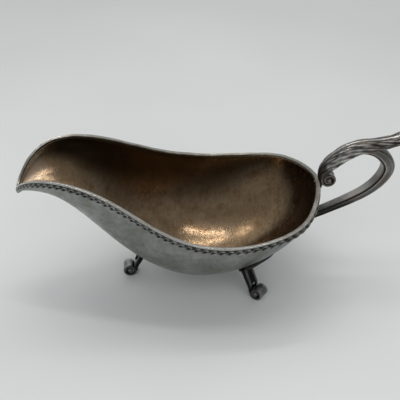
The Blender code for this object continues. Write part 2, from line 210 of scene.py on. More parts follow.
def rises(value, start, end):
    """0 up to the start, 1 from the end on, and a smooth rise between them."""
    share = np.clip((value - start) / (end - start), 0, 1)
    return share * share * (3 - 2 * share)


def ripple(turns):
    """A wave between 0 and 1 that is 1 at each whole turn."""
    return 0.5 + 0.5 * np.cos(2 * math.pi * turns)


def grid_faces(rows, columns, loop=False, ring=False):
    """Quads over numbered rows of points. loop joins the last row to the first, ring the columns."""
    faces = []
    for i in range(rows if loop else rows - 1):
        upper, lower = i * columns, (i + 1) % rows * columns
        for k in range(columns if ring else columns - 1):
            after = (k + 1) % columns
            faces.append((upper + k, lower + k, lower + after, upper + after))
    return faces


def capped_faces(rings, columns):
    """Quads round a swept outline, and a face over each end."""
    faces = grid_faces(rings, columns, ring=True)
    last = (rings - 1) * columns
    return faces + [tuple(range(columns)), tuple(range(last, last + columns))]


def join_shapes(*shapes):
    """(points, faces) pairs as one list of points and one of faces."""
    points, faces, first = [], [], 0
    for shape, shape_faces in shapes:
        flat = np.reshape(shape, (-1, 3))
        points.append(flat)
        faces += [tuple(first + v for v in face) for face in shape_faces]
        first += len(flat)
    return np.concatenate(points), faces


def mesh_object(name, points, faces, material, relief=None, closed=True, shading="relief"):
    """A smooth-shaded mesh. relief is above 0 where it is worn bright and where highlights are
    painted, and below 0 in recesses and painted shade.

    The material reads the relief from the mesh under the name that shading gives.
    """
    mesh = bpy.data.meshes.new(name)
    mesh.from_pydata(np.reshape(points, (-1, 3)).tolist(), [], faces)
    mesh.materials.append(material)
    if relief is not None:
        attribute = mesh.attributes.new(shading, "FLOAT", "POINT")
        attribute.data.foreach_set("value", np.ravel(relief).astype(np.float32))
    if closed:
        bm = bmesh.new()
        bm.from_mesh(mesh)
        bmesh.ops.recalc_face_normals(bm, faces=bm.faces)
        bm.to_mesh(mesh)
        bm.free()
    mesh.shade_smooth()
    obj = bpy.data.objects.new(name, mesh)
    bpy.context.scene.collection.objects.link(obj)
    return obj


# ---------------------------------------------------------------- materials

# How strongly each layer of the silver's colour covers the ones under it.
BROWN_COVER = 0.8
MOTTLE_COVER = 0.35
# The recess layer also paints shade, and the worn layer also paints highlights.
RECESS_AND_SHADE_COVER = 0.95
WEAR_AND_HIGHLIGHT_COVER = 0.8
# What the light blotches and the recesses add to its roughness.
BLOTCH_ROUGHNESS = -0.06
RECESS_ROUGHNESS = 0.15
# The depth of its dents, and each pattern's share in them.
DENT_DEPTH = 0.25 * MM
SCRATCH_SHARE = 0.5
GRAIN_SHARE = 0.25
MOTTLE_SHARE = 0.4


def add_node(tree, kind, inputs=(), **settings):
    """A new node. An input that is another node's socket is linked, and any other is set."""
    node = tree.nodes.new(kind)
    for key, value in settings.items():
        setattr(node, key, value)
    for key, value in dict(inputs).items():
        if isinstance(value, bpy.types.NodeSocket):
            tree.links.new(value, node.inputs[key])
        else:
            node.inputs[key].default_value = value
    return node


def noise(tree, place, scale, detail, stretch=(1, 1, 1)):
    """Noise over the object's own coordinates. scale counts its features per metre."""
    mapping = add_node(tree, "ShaderNodeMapping", {"Vector": place, "Scale": stretch})
    inputs = {"Vector": mapping.outputs[0], "Scale": scale, "Detail": detail}
    return add_node(tree, "ShaderNodeTexNoise", inputs).outputs["Fac"]


def remap(tree, value, low, high, to_low=0.0, to_high=1.0):
    """Stretches low to high onto to_low to to_high, and holds the ends beyond."""
    inputs = {"Value": value, "From Min": low, "From Max": high, "To Min": to_low, "To Max": to_high}
    return add_node(tree, "ShaderNodeMapRange", inputs, clamp=True).outputs[0]


def mix(tree, share, first, second):
    """A share of the second colour over the first. The node's sockets 0, 6 and 7 are theirs."""
    node = add_node(tree, "ShaderNodeMix", data_type="RGBA")
    for socket, value in ((node.inputs[0], share), (node.inputs[6], first), (node.inputs[7], second)):
        if isinstance(value, bpy.types.NodeSocket):
            tree.links.new(value, socket)
        elif isinstance(value, tuple):
            socket.default_value = (*value, 1)
        else:
            socket.default_value = value
    return node.outputs[2]


def multiply(tree, first, second):
    inputs = {0: first, 1: second}
    return add_node(tree, "ShaderNodeMath", inputs, operation="MULTIPLY").outputs[0]


def add_values(tree, first, second):
    inputs = {0: first, 1: second}
    return add_node(tree, "ShaderNodeMath", inputs, operation="ADD").outputs[0]


def silver(
    name, light, middle, dark, brown, worn, brown_from, rough, worn_rough=-0.08, streaks=0.0,
    bumpiness=0.22, shading="relief",
):
    """Tarnished silver: soft blotches, brown patches, dark recesses and painted shade, bright wear
    and painted highlights, scratches.

    Brown patches are rarer the higher brown_from is. worn_rough is added to the roughness where
    the metal is worn, and streaks is how much of the light colour the scratches show.
    """
    material = bpy.data.materials.new(name)
    material.use_nodes = True
    tree = material.node_tree
    shader = tree.nodes["Principled BSDF"]
    place = add_node(tree, "ShaderNodeTexCoord").outputs["Object"]
    relief = add_node(tree, "ShaderNodeAttribute", attribute_name=shading).outputs["Fac"]

    blotches = remap(tree, noise(tree, place, scale=70, detail=5), 0.36, 0.66)
    mottle = noise(tree, place, scale=420, detail=4)
    grain = noise(tree, place, scale=2600, detail=3)
    clouds = noise(tree, place, scale=130, detail=5, stretch=(1, 1.3, 1.1))
    patches = remap(tree, clouds, brown_from, brown_from + 0.16)
    scratches = noise(tree, place, scale=90, detail=3, stretch=(14, 0.8, 1.6))

    colour = mix(tree, blotches, middle, light)
    colour = mix(tree, multiply(tree, patches, BROWN_COVER), colour, brown)
    colour = mix(tree, remap(tree, mottle, 0.3, 0.75, 0.0, MOTTLE_COVER), colour, dark)
    if streaks:
        colour = mix(tree, remap(tree, scratches, 0.42, 0.7, 0.0, streaks), colour, light)
    # Relief below 0 darkens recesses and painted shade; above 0 it brightens wear and painted
    # highlights.
    colour = mix(tree, remap(tree, relief, 0.0, -1.0, 0.0, RECESS_AND_SHADE_COVER), colour, dark)
    colour = mix(tree, remap(tree, relief, 0.0, 1.0, 0.0, WEAR_AND_HIGHLIGHT_COVER), colour, worn)
    tree.links.new(colour, shader.inputs["Base Color"])

    roughness = remap(tree, mottle, 0.3, 0.7, rough - 0.05, rough + 0.08)
    roughness = add_values(tree, roughness, multiply(tree, blotches, BLOTCH_ROUGHNESS))
    roughness = add_values(tree, roughness, remap(tree, relief, 0.0, 1.0, 0.0, worn_rough))
    roughness = add_values(tree, roughness, remap(tree, relief, -1.0, 0.0, RECESS_ROUGHNESS, 0.0))
    tree.links.new(roughness, shader.inputs["Roughness"])

    height = multiply(tree, scratches, SCRATCH_SHARE)
    height = add_values(tree, height, multiply(tree, grain, GRAIN_SHARE))
    height = add_values(tree, height, multiply(tree, mottle, MOTTLE_SHARE))
    inputs = {"Height": height, "Strength": bumpiness, "Distance": DENT_DEPTH}
    dents = add_node(tree, "ShaderNodeBump", inputs)
    tree.links.new(dents.outputs[0], shader.inputs["Normal"])
    shader.inputs["Metallic"].default_value = 1.0
    return material


SILVER_OUTSIDE = silver(
    "silver_outside", light=(0.37, 0.38, 0.37), middle=(0.26, 0.265, 0.25),
    dark=(0.12, 0.12, 0.105), brown=(0.25, 0.23, 0.18), worn=(0.42, 0.43, 0.42),
    brown_from=0.54, rough=0.42,
)
# Its near-black recess colour paints the shade inside the bowl, below the rim.
SILVER_INSIDE = silver(
    "silver_inside", light=(0.36, 0.258, 0.165), middle=(0.27, 0.182, 0.105),
    dark=(0.03, 0.018, 0.008), brown=(0.22, 0.13, 0.065), worn=(0.62, 0.49, 0.37),
    brown_from=0.5, rough=0.25, worn_rough=0.14, streaks=0.35, bumpiness=0.1, shading="lip_wear_and_painted_shade",
)
# Its worn colour also paints the highlight along the rim's bead.
SILVER_RIM = silver(
    "silver_rim", light=(0.42, 0.415, 0.38), middle=(0.34, 0.33, 0.29),
    dark=(0.07, 0.065, 0.05), brown=(0.24, 0.21, 0.16), worn=(0.78, 0.77, 0.74),
    brown_from=0.5, rough=0.38, bumpiness=0.14,
)
# Its near-black recess colour paints the shade in the rope's notches and on its backing.
SILVER_ROPE = silver(
    "silver_rope", light=(0.42, 0.43, 0.42), middle=(0.33, 0.33, 0.31),
    dark=(0.02, 0.02, 0.017), brown=(0.22, 0.19, 0.14), worn=(0.50, 0.51, 0.50),
    brown_from=0.55, rough=0.4,
)
# Its near-black recess colour paints the shade on the knee plates.
SILVER_LEG = silver(
    "silver_leg", light=(0.27, 0.27, 0.265), middle=(0.19, 0.19, 0.185),
    dark=(0.014, 0.014, 0.012), brown=(0.17, 0.14, 0.12), worn=(0.62, 0.62, 0.61),
    brown_from=0.58, rough=0.36,
)
# Its recess colour also paints shade under the leaf and round the pad, and its worn colour the leaf's
# highlight.
SILVER_CAST = silver(
    "silver_cast", light=(0.27, 0.265, 0.255), middle=(0.17, 0.165, 0.155),
    dark=(0.025, 0.024, 0.02), brown=(0.25, 0.19, 0.155), worn=(0.70, 0.68, 0.65),
    brown_from=0.51, rough=0.38,
)


# ---------------------------------------------------------------- body

SHEET_ROWS = 230
SHEET_HALF_POINTS = 34
SHEET_FIRST_ANGLE = 0.06
SHEET_LAST_ANGLE = math.pi - 0.04
SHEET_EDGE_DROP = 0.9 * MM

RIM_STEPS = 900
STRIP_INNER = -1.75
# The strip's section: (outwards from the rim line, up), in millimetres, and each point's relief.
STRIP_OUTLINE = (
    (STRIP_INNER + 0.1, -1.2), (STRIP_INNER, -0.75), (STRIP_INNER, -0.3), (STRIP_INNER + 0.12, -0.02),
    (STRIP_INNER + 0.4, 0.1), (-0.9, 0.16), (-0.4, 0.19), (0.0, 0.2), (0.15, 0.24), (0.32, 0.4),
    (0.52, 0.47), (0.72, 0.4), (0.88, 0.2), (0.94, -0.08), (0.88, -0.36), (0.72, -0.56), (0.5, -0.7),
    (0.3, -0.85), (0.3, -1.2),
)
# The relief is wear and a painted highlight along the bead, darker down the inner face, and painted
# shade under the bead.
STRIP_WEAR_AND_PAINTED_LIGHT = (
    -0.9, -0.6, -0.4, -0.15, 0.0, 0.1, 0.1, 0.1, 0.2, 0.5, 0.8, 0.9, 0.9, 0.8, 0.6, 0.4, 0.1,
    -0.2, -0.5,
)
STRIP_WOBBLE = 0.05 * MM
STRIP_INWARD_SHARE = 0.85
STRIP_LOST_AT_SPOUT = 0.4
STRIP_DULLED_AT_REAR = 0.5

ROPE_TOP = -0.5 * MM
ROPE_TALL = 3.8 * MM
ROPE_OUT = 0.32 * MM
ROPE_SWING_OUT = 0.2 * MM
ROPE_TWISTS = 52
ROPE_TIGHTENING = 0.15  # how much closer than average the twists are at the spout
ROPE_STEPS_PER_TWIST = 24
STRAND_RADIUS = 0.85 * MM
STRAND_SIDES = 10
# The backing band's section: (outwards from the rim line, up), in millimetres.
ROPE_BACKING = ((-0.4, -0.95), (0.0, -0.95), (0.15, -2.6), (0.0, -4.2), (-0.4, -4.2))
# The backing is painted dark, as the shade behind and between the strands.
BACKING_SHADE = -0.6
NOTCH_SLANT = 1.5  # how far round a twist they lean over half the rope's height, in radians
# How dark the notches are painted, as shade and patina in the crevices.
LOW_NOTCH_SHADE = 1.8
HIGH_NOTCH_SHADE = 1.5


def bowl_wall(angle, turn):
    """The outer wall: turn is 0 at the rim's own height and a quarter turn on the keel line."""
    station = angle / math.pi
    fullness = section_fullness(station)
    rim = rim_line(angle)
    half_width = np.abs(rim[..., 1]) - WALL_INSET * np.sin(angle)
    across = np.clip(np.cos(turn), 0, None) ** (2 / fullness)
    soft = KEEL_SOFTNESS
    rounded = (across**2 + soft**2) ** (fullness / 2) - soft**fullness
    rounded /= (1 + soft**2) ** (fullness / 2) - soft**fullness
    drop = np.clip(1 - rounded, 0, None) ** (1 / fullness)
    x = rim[..., 0] + WALL_INSET * np.cos(angle)
    z = rim[..., 2] - np.sin(angle) * bowl_depth(station) * drop
    return np.stack([x, half_width * across, z], axis=-1)


def inside_relief(angle, down):
    """Painted shade inside, standing in for the dark room that the upper walls mirror, at shares of
    the depth below the rim.

    It is darkest just below the rim, reaches further down behind the spout, fades towards the rear,
    and gives way to worn metal at the spout's lip.
    """
    reach = 0.26 * bump(angle - 1.1, 0.5)
    # Painted shade, darkest in a band just below the rim.
    high = 1 - rises(down, 0.1 + reach, 0.62 + reach)
    at_lip = 1 - rises(angle, 0.35, 0.75)
    shade_lifted_at_rear = 0.65 * rises(angle, 1.6, 2.5)
    return 0.75 * at_lip - high * (1 - at_lip) * (1 - shade_lifted_at_rear)


def bowl_sheet():
    """The outer wall's points in rows from tip to rear, its faces, and the relief inside: painted
    shade and the worn lip.
    """
    rows, relief = [], []
    for angle in np.linspace(SHEET_FIRST_ANGLE, SHEET_LAST_ANGLE, SHEET_ROWS):
        station = angle / math.pi
        depth = math.sin(angle) * float(bowl_depth(station))
        edge = min(SHEET_EDGE_DROP / depth, 1) ** (float(section_fullness(station)) / 2)
        turns = np.linspace(math.asin(edge), math.pi / 2, SHEET_HALF_POINTS + 1)
        side = bowl_wall(np.full(SHEET_HALF_POINTS + 1, angle), turns)
        shade = inside_relief(angle, (side[0, 2] - side[:, 2]) / depth)
        rows.append(np.concatenate([side, side[-2::-1] * (1, -1, 1)]))
        relief.append(np.concatenate([shade, shade[-2::-1]]))
    points = np.array(rows)
    return points, grid_faces(*points.shape[:2]), np.array(relief)


def make_bowl():
    """The sheet with its thickness laid inwards, so that the outer wall is where the CAD has it."""
    points, faces, relief = bowl_sheet()
    # The sheet carries the painted shade inside and the worn lip, for the inner silver.
    bowl = mesh_object(
        "bowl_shell", points, faces, SILVER_OUTSIDE, relief, closed=False, shading="lip_wear_and_painted_shade",
    )
    lowest = min(bowl.data.polygons, key=lambda face: face.center.z)
    if lowest.normal.z > 0:
        bowl.data.flip_normals()
    bowl.data.materials.append(SILVER_INSIDE)
    solidify = bowl.modifiers.new("sheet", "SOLIDIFY")
    solidify.thickness = SHEET
    solidify.offset = -1
    solidify.material_offset = 1
    solidify.material_offset_rim = 1
    return bowl


def make_rim_strip():
    """The rim's flat lip and its outer bead, worn bright with a painted highlight: narrower at the
    spout, duller at the rear.
    """
    angles = even_rim_angles(RIM_STEPS)
    from_tip = np.minimum(angles, 2 * math.pi - angles)
    at_spout = 1 - rises(from_tip, 0.5, 1.1)
    at_rear = rises(from_tip, 2.0, 2.7)
    outline = np.array(STRIP_OUTLINE) * MM
    wobble = STRIP_WOBBLE * (np.sin(23 * angles) + np.sin(37 * angles + 1))[:, None]
    inward_share = (STRIP_INWARD_SHARE - STRIP_LOST_AT_SPOUT * at_spout)[:, None]
    across = np.minimum(outline[:, 0], 0) * inward_share + np.maximum(outline[:, 0], 0)
    across = across + 0.5 * wobble
    points = rim_line(angles)[:, None] + rim_outward(angles)[:, None] * across[..., None]
    points[..., 2] += outline[:, 1] + 0.6 * wobble
    # The bead's painted highlight and the painted shade under it come from the strip's relief.
    relief = np.array(STRIP_WEAR_AND_PAINTED_LIGHT) - STRIP_DULLED_AT_REAR * at_rear[:, None]
    faces = grid_faces(len(angles), len(outline), loop=True, ring=True)
    return mesh_object("rim_strip", points, faces, SILVER_RIM, relief)


def rope_strand(base, outward, phase, start, uneven):
    """A strand's points and relief: at each step along it, a ring of STRAND_SIDES points."""
    turn = phase + start
    level = ROPE_TOP - ROPE_TALL / 2 + (ROPE_TALL / 2 - STRAND_RADIUS) * np.cos(turn)
    swing = ROPE_OUT + ROPE_SWING_OUT * np.sin(turn)
    centre = base + outward * swing[:, None] + UP * level[:, None]
    along = unit(np.roll(centre, -1, axis=0) - np.roll(centre, 1, axis=0))
    side = unit(np.cross(along, UP))
    side *= np.sign(np.sum(side * outward, axis=1, keepdims=True))
    lift = unit(np.cross(side, along))
    lift *= np.sign(lift[:, 2:3])
    points, relief = [], []
    for bend in ring_angles(STRAND_SIDES):
        spoke = side * math.cos(bend) + lift * math.sin(bend)
        place = centre + spoke * STRAND_RADIUS
        # Painted shade and patina darken two rows of notches slanting across both strands, low and
        # high in turns.
        height = (place[:, 2] - base[:, 2] - ROPE_TOP) / (ROPE_TALL / 2) + 1
        slant = phase + NOTCH_SLANT * height
        low = LOW_NOTCH_SHADE * bump(np.sin(slant), 0.7) * bump(height + 0.46, 0.48)
        high = HIGH_NOTCH_SHADE * bump(np.cos(slant), 0.6) * bump(height - 0.42, 0.4)
        facing = np.sum(spoke * outward, axis=1)
        points.append(place)
        relief.append(np.clip(0.25 * facing - (low + high) * uneven, -1, 1))
    return np.stack(points, axis=1), np.stack(relief, axis=1)


def make_rope():
    """Two strands twisted round each other, on a backing band painted dark as shade."""
    count = ROPE_TWISTS * ROPE_STEPS_PER_TWIST
    angles = even_rim_angles(count)
    base, outward = rim_line(angles), rim_outward(angles)
    turn = ring_angles(count)
    phase = ROPE_TWISTS * (turn + ROPE_TIGHTENING * np.sin(turn))
    uneven = 0.85 + 0.15 * np.sin(3.7 * angles) * np.sin(31 * angles + 1)
    shapes, relief = [], []
    for start in (0, math.pi):
        points, shade = rope_strand(base, outward, phase, start, uneven)
        shapes.append((points, grid_faces(count, STRAND_SIDES, loop=True, ring=True)))
        relief.append(shade.ravel())
    band = np.array(ROPE_BACKING) * MM
    backing = base[:, None] + outward[:, None] * band[:, :1] + UP * band[:, 1:]
    shapes.append((backing, grid_faces(count, len(band), loop=True, ring=True)))
    relief.append(np.full(count * len(band), BACKING_SHADE))
    points, faces = join_shapes(*shapes)
    return mesh_object("rope_strands", points, faces, SILVER_ROPE, np.concatenate(relief))


# ---------------------------------------------------------------- handle and legs

STRAP_RINGS = 280
STRAP_COLUMNS = 72
# Grooves along the strap: (place and half width, in degrees round its section, and depth share).
DEEP_GROOVE = (-30, 9, 0.24)
FINE_GROOVES = ((4, 8, 0.12), (36, 8, 0.12), (-90, 30, 0.05))
LEAF_RINGS = 230
LEAF_TOP_COLUMNS = 81
LEAF_UNDER_COLUMNS = 31
LEAF_SADDLE_SHARE = 0.8  # the share of the underside that lies on the strap
SECTION_POWER = 4.0
SHANK_RINGS = 80
ROLL_RINGS = 120
TAIL_RINGS = 12
EYE_RINGS = 12
EYE_COLUMNS = 24
EYE_PAST_ROLL = 0.2 * MM
SHANK_BEAD_RADIUS = 0.9 * MM
SHANK_BEAD_HALF_WIDTH = 1.28 * MM
SHANK_BEAD_OUT = 0.5 * MM
RAY_START = 40 * MM  # how far behind the rim the rays for the strap's end set off


def line_through(places, count, end=1.0):
    """Shares, points and directions along a smooth line through (along, up) places, in metres."""
    across = smooth([p[0] for p in places], MM)
    upward = smooth([p[1] for p in places], MM)
    share = np.linspace(0, end, count)
    ahead, behind = np.minimum(share + 0.004, 1), np.maximum(share - 0.004, 0)
    point = np.stack([across(share), upward(share)], axis=-1)
    step = np.stack([across(ahead) - across(behind), upward(ahead) - upward(behind)], axis=-1)
    return share, point, unit(step)


def sweep(point, direction, outline):
    """Points of an outline of (across, through) lengths, ring by ring along a line in one plane."""
    normal = np.stack([-direction[:, 1], direction[:, 0]], axis=-1)
    place = point[:, None] + normal[:, None] * outline[..., 1:]
    return np.stack([place[..., 0], outline[..., 0], place[..., 1]], axis=-1)


def rounded_ring(columns):
    """A squarish unit ring, as lengths across and through."""
    cos, sin = np.cos(ring_angles(columns)), np.sin(ring_angles(columns))
    across = np.sign(cos) * np.abs(cos) ** (2 / SECTION_POWER)
    through = np.sign(sin) * np.abs(sin) ** (2 / SECTION_POWER)
    return across, through


def behind_rim(points):
    """Moves a piece's own X from behind the rear rim into the frame."""
    return points + np.array((REAR_X, 0, 0))


def groove_depths(folded, *grooves):
    """How deep the grooves are, as shares of the half size, round the strap's section."""
    depths = 0
    for place, width, depth in grooves:
        depths = depths + depth * bump(folded - math.radians(place), math.radians(width))
    return depths


def make_handle_loop(wall):
    """The strap: reeded sides, a smooth inner face, and a deep groove between the two."""
    share, point, direction = line_through(STRAP_PATH, STRAP_RINGS)
    along = share[:, None]
    across, through = rounded_ring(STRAP_COLUMNS)
    # The angle round the section, from -90 to 90 degrees, the same on both sides.
    folded = np.arcsin(np.clip(np.sin(ring_angles(STRAP_COLUMNS)), -1, 1))
    fade = rises(along, 0.02, 0.2) * (1 - 0.5 * rises(along, 0.7, 0.9))
    cut = (groove_depths(folded, DEEP_GROOVE) + groove_depths(folded, *FINE_GROOVES)) * fade
    full = bump(along - 0.48, 0.15)
    half_width = strap_width(along) / 2 * (1.02 + 0.09 * full)
    half_depth = strap_thickness(along) / 2 * (1.05 + 0.22 * full)
    outline = np.stack([across * half_width * (1 - cut), through * half_depth * (1 - cut)], axis=-1)
    points = behind_rim(sweep(point, direction, outline))
    for place in points[len(points) // 2 :].reshape(-1, 3):
        start = Vector((REAR_X + RAY_START, place[1], place[2]))
        hit = wall.ray_cast(start, Vector((-1, 0, 0)))[0]
        if hit is not None:
            place[0] = max(place[0], hit.x - SHEET / 2)  # its end stops inside the sheet

    # Worn on the edge beside the deep groove and on the inner face, darker at the lower end, most on
    # its outside.
    worn_edge = 0.25 * bump(folded + math.radians(14), math.radians(8))
    worn_face = 0.3 * rises(-folded, 0.6, 1.2)
    dark_end = 0.5 * rises(along, 0.68, 0.82)
    dark_outside = 0.5 * rises(along, 0.6, 0.85) * rises(folded, -0.9, -0.3)
    relief = 0.12 - 4.2 * cut + worn_edge + worn_face - dark_end - dark_outside
    faces = capped_faces(*points.shape[:2])
    return mesh_object("handle_loop", points, faces, SILVER_CAST, relief)


def leaf_carving(along, edge, live):
    """The leaf's middle rib, veins and lobe folds, in millimetres off its smooth top."""
    rib = LEAF_RIB_HEIGHT * bump(edge, 0.10) - LEAF_FURROW_DEPTH * bump(edge - 0.24, 0.09)
    vein = ripple(along * LEAF_VEINS - edge * 2.6) ** 3
    fold = ripple(along * LEAF_LOBES - 0.2 - 0.5 * (1 - edge)) ** 4
    cut = (LEAF_VEIN_DEPTH * vein + LEAF_FOLD_DEPTH * fold) * rises(edge, 0.22, 0.5)
    return (rib - cut) * live * (1 - rises(edge, 0.78, 1.0))


def leaf_top(along, side):
    """The top's outline ring by ring, and its relief. side goes from -1 to 1 across the leaf."""
    edge = np.abs(side)
    down = rises(edge, 0.78, 1.0)
    live = rises(along, 0.04, 0.16) * (1 - rises(along, 0.9, 1.0))
    notch = ripple(along * LEAF_LOBES - 0.2) ** 3
    width = leaf_half_width(along) * (1 - 0.04 * notch * live)
    body = leaf_crest(along) * (1 - edge**3.2) - leaf_droop(along) * rises(edge, 0.8, 1.0)
    carved = leaf_carving(along, edge, live)
    # Streaks run down the flanks, where the leaf folds over the strap's sides.
    streak = np.sin(2 * math.pi * (2.3 * down - 7 * along)) + 0.5 * np.sin(5 * down + 61 * along)
    streak = streak * rises(edge, 0.76, 0.84) * live
    across = side * width + 0.16 * MM * streak * np.sign(side)
    # A painted highlight on the upper flanks, two fifths of the way along.
    painted_highlight = 0.5 * bump(along - 0.4, 0.16) * bump(edge - 0.75, 0.4)
    dull_root = 0.8 * (1 - rises(along, 0.08, 0.24))
    relief = 0.15 + 2.6 * carved + painted_highlight - dull_root + 0.34 * streak - 0.15 * down
    return np.stack([across, body + carved * MM], axis=-1), np.clip(relief, -1, 1)


def leaf_underside(along, side):
    """The underside's outline ring by ring: flat on the strap, then down its two sides."""
    saddle = np.minimum(LEAF_SADDLE, leaf_half_width(along) * LEAF_SADDLE_SHARE)
    wrap = np.clip((np.abs(side) - LEAF_SADDLE_SHARE) / (1 - LEAF_SADDLE_SHARE), 0, 1)
    on_strap = saddle * side / LEAF_SADDLE_SHARE
    across = np.where(wrap > 0, np.sign(side) * (saddle - 0.1 * MM * wrap), on_strap)
    return np.stack([across, -0.05 * MM - leaf_droop(along) * wrap], axis=-1)


def make_handle_leaf():
    """The acanthus cap: a ribbed leaf with lobed edges, laid like a saddle over the strap."""
    share, point, direction = line_through(LEAF_PATH, LEAF_RINGS)
    top_side = np.sin(np.linspace(-math.pi / 2, math.pi / 2, LEAF_TOP_COLUMNS))[None]
    top, top_relief = leaf_top(share[:, None], top_side)
    bottom = leaf_underside(share[:, None], np.linspace(1, -1, LEAF_UNDER_COLUMNS)[None, 1:-1])
    outline = np.concatenate([top, bottom], axis=1)
    points = behind_rim(sweep(point, direction, outline))
    # The underside is painted dark, as shade under the leaf.
    relief = np.concatenate([top_relief, np.full(bottom.shape[:2], -0.7)], axis=1)
    faces = capped_faces(*points.shape[:2])
    return mesh_object("handle_leaf_cap", points, faces, SILVER_CAST, relief)


def ribbon_ring(columns, depth, slot):
    """A ribbon's outline in half sizes, slotted down its outer face, and its relief.

    depth and slot are the slot's depth and half width, as shares of the half sizes.
    """
    across, through = rounded_ring(columns)
    hollow = depth * (1 - rises(np.abs(across), slot - 0.12, slot + 0.12))
    relief = np.where(np.abs(across) > 0.93, -0.25, 0.3) - 1.6 * hollow * (through > 0)
    return across, np.where(through > 0, through * (1 - hollow), through), relief


def placed(points, matrix):
    """The points moved by a 4 x 4 matrix."""
    whole = np.array(matrix)
    return points @ whole[:3, :3].T + whole[:3, 3]


def leg_matrix(foot, angle, height):
    """Turns a leg's own X outwards along its angle, over its foot."""
    return Matrix.Translation((foot.x, foot.y, height)) @ Matrix.Rotation(angle, 4, "Z")


def eye_roll(radius, half_width):
    """A short roll with domed ends, its axis along Y."""
    slope = np.linspace(-math.pi / 2, math.pi / 2, EYE_RINGS)
    y = half_width * np.sign(np.sin(slope)) * np.abs(np.sin(slope)) ** 0.7
    size = np.maximum(radius * np.cos(slope) ** 0.45, 0.05 * MM)
    x = size[:, None] * np.cos(ring_angles(EYE_COLUMNS))
    z = size[:, None] * np.sin(ring_angles(EYE_COLUMNS))
    return np.stack([x, np.repeat(y[:, None], EYE_COLUMNS, axis=1), z], axis=-1)


def roll_points(radius, turns, pitch, band, width, tail):
    """A ribbon rolled up from the outside inwards: rings of points and their relief.

    The radius is measured at the lowest point, which is a quarter turn in. A tail leads straight
    down to the roll's start.
    """
    turn = np.linspace(0, turns, ROLL_RINGS)
    angle = math.pi + 2 * math.pi * turn
    middle = radius + pitch * (0.25 - turn) - band / 2
    point = np.stack([middle * np.cos(angle), middle * np.sin(angle)], axis=-1)
    if tail:
        straight = [(point[0, 0], tail * (1 - i / TAIL_RINGS)) for i in range(TAIL_RINGS)]
        point = np.concatenate([straight, point])
    direction = unit(np.gradient(point, axis=0))
    across, through, relief = ribbon_ring(columns=40, depth=0.2, slot=0.55)
    # Through points inwards here, so it is turned over to keep the beads outside.
    outline = np.stack([across * width / 2, -through * band / 2], axis=-1)
    outline = np.repeat(outline[None], len(point), axis=0)
    return sweep(point, direction, outline), np.repeat(relief[None], len(point), axis=0)


def make_scroll(name, matrix, material, radius, turns, pitch, band, width, tail=0.0, floor=None):
    """A rolled ribbon with a domed eye in its middle, flattened at the floor where one is given."""
    roll, roll_relief = roll_points(radius, turns, pitch, band, width, tail)
    eye = eye_roll(radius - pitch * (turns - 0.25) - band * 0.4, width / 2 + EYE_PAST_ROLL)
    if floor is not None:
        roll[..., 2] = np.maximum(roll[..., 2], floor)
    shapes = ((roll, capped_faces(*roll.shape[:2])), (eye, capped_faces(*eye.shape[:2])))
    points, faces = join_shapes(*shapes)
    relief = np.concatenate([roll_relief.ravel(), np.zeros(eye[..., 0].size)])
    return mesh_object(name, placed(points, matrix), faces, material, relief)


def make_shank(name, matrix, wall):
    """The leg from its foot scroll up to the bowl's wall, channelled down its outer face."""
    share, point, direction = line_through(SHANK_PATH, SHANK_RINGS, SHANK_END)
    across, through, ring_relief = ribbon_ring(columns=64, depth=0.85, slot=0.45)
    thick = shank_thickness(share)[:, None] / 2
    width = SHANK_WIDTH / 2 * (1 + 0.05 * rises(share, 0.5, 0.8))[:, None]
    strap = sweep(point, direction, np.stack([across * width, -through * thick], axis=-1))
    # A small bead sits in the channel, a third of the way up.
    seat = point[int(len(share) * 0.34)]
    bead = eye_roll(SHANK_BEAD_RADIUS, SHANK_BEAD_HALF_WIDTH)
    bead = bead + np.array((seat[0] + SHANK_BEAD_OUT, 0, seat[1]))
    shapes = ((strap, capped_faces(*strap.shape[:2])), (bead, capped_faces(*bead.shape[:2])))
    points, faces = join_shapes(*shapes)
    strap_relief = np.tile(ring_relief - 0.75, len(share))
    relief = np.concatenate([strap_relief, np.full(bead[..., 0].size, 0.4)])
    points = placed(points, matrix)
    for place in points:
        hit = wall.ray_cast(Vector((place[0], place[1], -MM)), Vector((0, 0, 1)))[0]
        if hit is not None:
            place[2] = min(place[2], hit.z + SHANK_INTO_WALL)
    return mesh_object(name, points, faces, SILVER_LEG, relief)


# ---------------------------------------------------------------- plates on the wall

PLATE_RAYS = 120
PLATE_RINGS = 16
PLATE_SINK = 0.1 * MM
# The height of a plate's flutes and of the bead along its edge, in millimetres.
FLUTE_HEIGHT = 0.3
EDGE_BEAD_HEIGHT = 0.15
RAY_ASIDE = 20 * MM  # how far off the wall the rays for a plate set off


def wall_tree():
    """The bowl's outer wall, for rays to be cast at."""
    points, faces, _ = bowl_sheet()
    return BVHTree.FromPolygons(points.reshape(-1, 3).tolist(), faces)


def lay_on_wall(wall, aim, outward):
    """Where a line along outward meets the wall, and the wall's normal there, facing out."""
    spot, normal, _, _ = wall.ray_cast(aim + outward * RAY_ASIDE, -outward)
    if normal.dot(outward) < 0:
        normal = -normal
    return spot, normal


